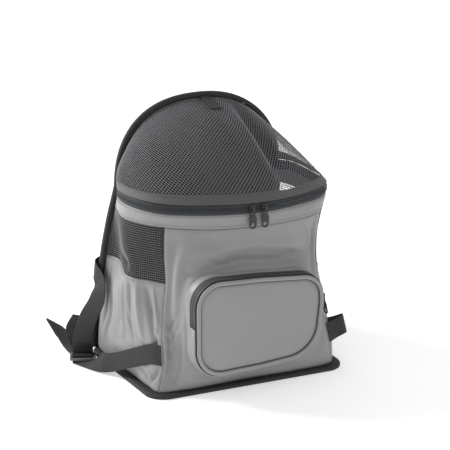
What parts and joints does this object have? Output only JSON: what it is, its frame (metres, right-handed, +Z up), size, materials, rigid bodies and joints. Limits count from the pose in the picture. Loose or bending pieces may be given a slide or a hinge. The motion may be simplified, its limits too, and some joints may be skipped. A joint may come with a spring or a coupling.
{
  "type": "pet carrier backpack",
  "caption": "Soft grey nylon backpack for carrying a small pet, with net side windows, a zipped net lid, a front pocket and black webbing straps.",
  "frame": {"origin": "middle of the base board underside", "axes": "+X to the right seen from the front, +Y to the back, +Z up"},
  "size_m": [0.4136, 0.3383, 0.4028],
  "materials": {
    "nylon": "plain grey coated nylon with soft folds",
    "webbing": "black woven webbing and edge binding",
    "net": "dark polyester net with small holes",
    "zip": "black woven zip tape with a coil",
    "enamel": "black enamel",
    "buckle": "dark grey moulded plastic"
  },
  "bodies": {
    "bag": {"base_board": "nylon", "base_binding": "webbing", "back_panel": "webbing", "back_binding": "webbing", "top_tab": "webbing", "front_panel": "nylon", "side_panel_left": "nylon", "side_panel_right": "nylon", "window_net_left": "net", "window_net_right": "net", "collar_band": "nylon", "rim_tape_lower": "zip", "rim_coil": "zip", "rim_tape_upper": "zip", "rim_slider_left": "enamel", "rim_slider_right": "enamel", "lid_band": "webbing", "lid_net": "net", "pocket_gusset": "nylon", "pocket_zip": "zip", "pocket_piping": "nylon", "pocket_front": "nylon", "pocket_slider": "enamel", "lower_strap_left": "webbing", "lower_strap_right": "webbing", "shoulder_strap_left": "webbing", "shoulder_strap_right": "webbing", "buckle_left": "buckle", "buckle_right": "buckle"},
    "rim_pull_left": {"rim_pull_left": "enamel"},
    "rim_pull_right": {"rim_pull_right": "enamel"},
    "pocket_pull": {"pocket_pull": "enamel"}
  },
  "joints": [
    {"name": "rim_pull_left_hinge", "type": "hinge", "parent": "bag", "child": "rim_pull_left", "pos_m": [-0.004, -0.13142, 0.276], "axis": [-1, 0, 0], "range_deg": [0, 150]},
    {"name": "rim_pull_right_hinge", "type": "hinge", "parent": "bag", "child": "rim_pull_right", "pos_m": [0.015, -0.13324, 0.276], "axis": [-1, 0, 0], "range_deg": [0, 150]},
    {"name": "pocket_pull_hinge", "type": "hinge", "parent": "bag", "child": "pocket_pull", "pos_m": [0.1095, -0.13965, 0.1274], "axis": [0, -1, 0], "range_deg": [0, 150]}
  ]
}
